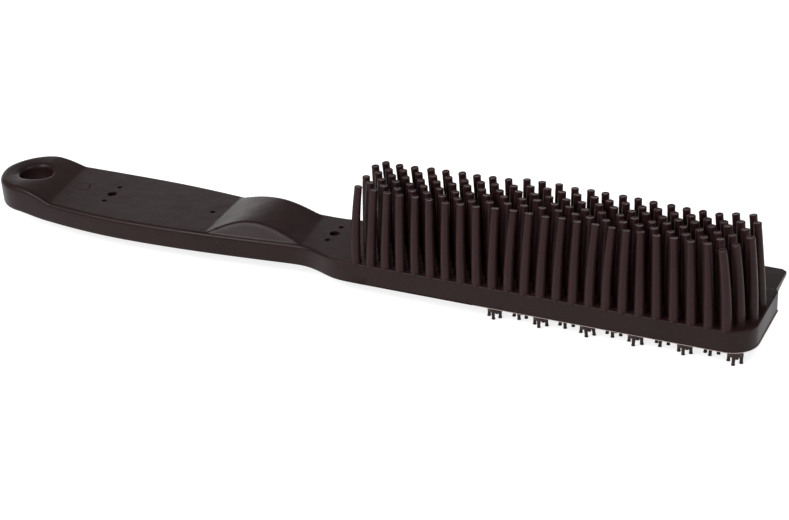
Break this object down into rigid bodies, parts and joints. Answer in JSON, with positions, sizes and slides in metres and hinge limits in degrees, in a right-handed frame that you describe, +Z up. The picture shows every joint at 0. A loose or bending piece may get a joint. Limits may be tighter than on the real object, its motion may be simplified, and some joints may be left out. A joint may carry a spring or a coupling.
{
  "type": "curry comb",
  "caption": "Long-handled moulded rubber curry comb with a field of tapered pins, a scraper blade along one side, studs underneath, a thumb hump and a hang hole.",
  "frame": {"origin": "middle of the bounding box in X and Y, at the height of the stud feet under the head", "axes": "+X along the comb from the handle to the head's tip, +Y across the head towards the scraper blade, +Z up the long pins"},
  "size_m": [0.271, 0.0422, 0.0363],
  "materials": {
    "moulded_rubber": "satin, very dark brown-black moulded rubber",
    "core_plastic": "matt dark grey, hidden inside"
  },
  "bodies": {
    "root": {"handle_grip": "moulded_rubber", "head_plate": "moulded_rubber", "core_spine": "core_plastic", "pin_row_1": "moulded_rubber", "pin_row_2": "moulded_rubber", "pin_row_3": "moulded_rubber", "pin_row_4": "moulded_rubber", "pin_row_5": "moulded_rubber", "pin_row_6": "moulded_rubber", "scraper_blade": "moulded_rubber", "nub_cluster_near_1": "moulded_rubber", "nub_cluster_near_2": "moulded_rubber", "nub_cluster_near_3": "moulded_rubber", "nub_cluster_near_4": "moulded_rubber", "nub_cluster_near_5": "moulded_rubber", "nub_cluster_near_6": "moulded_rubber", "nub_cluster_near_7": "moulded_rubber", "nub_cluster_near_8": "moulded_rubber", "nub_cluster_near_9": "moulded_rubber", "nub_cluster_near_10": "moulded_rubber", "nub_cluster_near_11": "moulded_rubber", "nub_cluster_middle_1": "moulded_rubber", "nub_cluster_middle_2": "moulded_rubber", "nub_cluster_middle_3": "moulded_rubber", "nub_cluster_middle_4": "moulded_rubber", "nub_cluster_middle_5": "moulded_rubber", "nub_cluster_middle_6": "moulded_rubber", "nub_cluster_middle_7": "moulded_rubber", "nub_cluster_middle_8": "moulded_rubber", "nub_cluster_middle_9": "moulded_rubber", "nub_cluster_middle_10": "moulded_rubber", "nub_cluster_middle_11": "moulded_rubber", "nub_cluster_far_1": "moulded_rubber", "nub_cluster_far_2": "moulded_rubber", "nub_cluster_far_3": "moulded_rubber", "nub_cluster_far_4": "moulded_rubber", "nub_cluster_far_5": "moulded_rubber", "nub_cluster_far_6": "moulded_rubber", "nub_cluster_far_7": "moulded_rubber", "nub_cluster_far_8": "moulded_rubber", "nub_cluster_far_9": "moulded_rubber", "nub_cluster_far_10": "moulded_rubber", "nub_cluster_far_11": "moulded_rubber"}
  },
  "joints": []
}
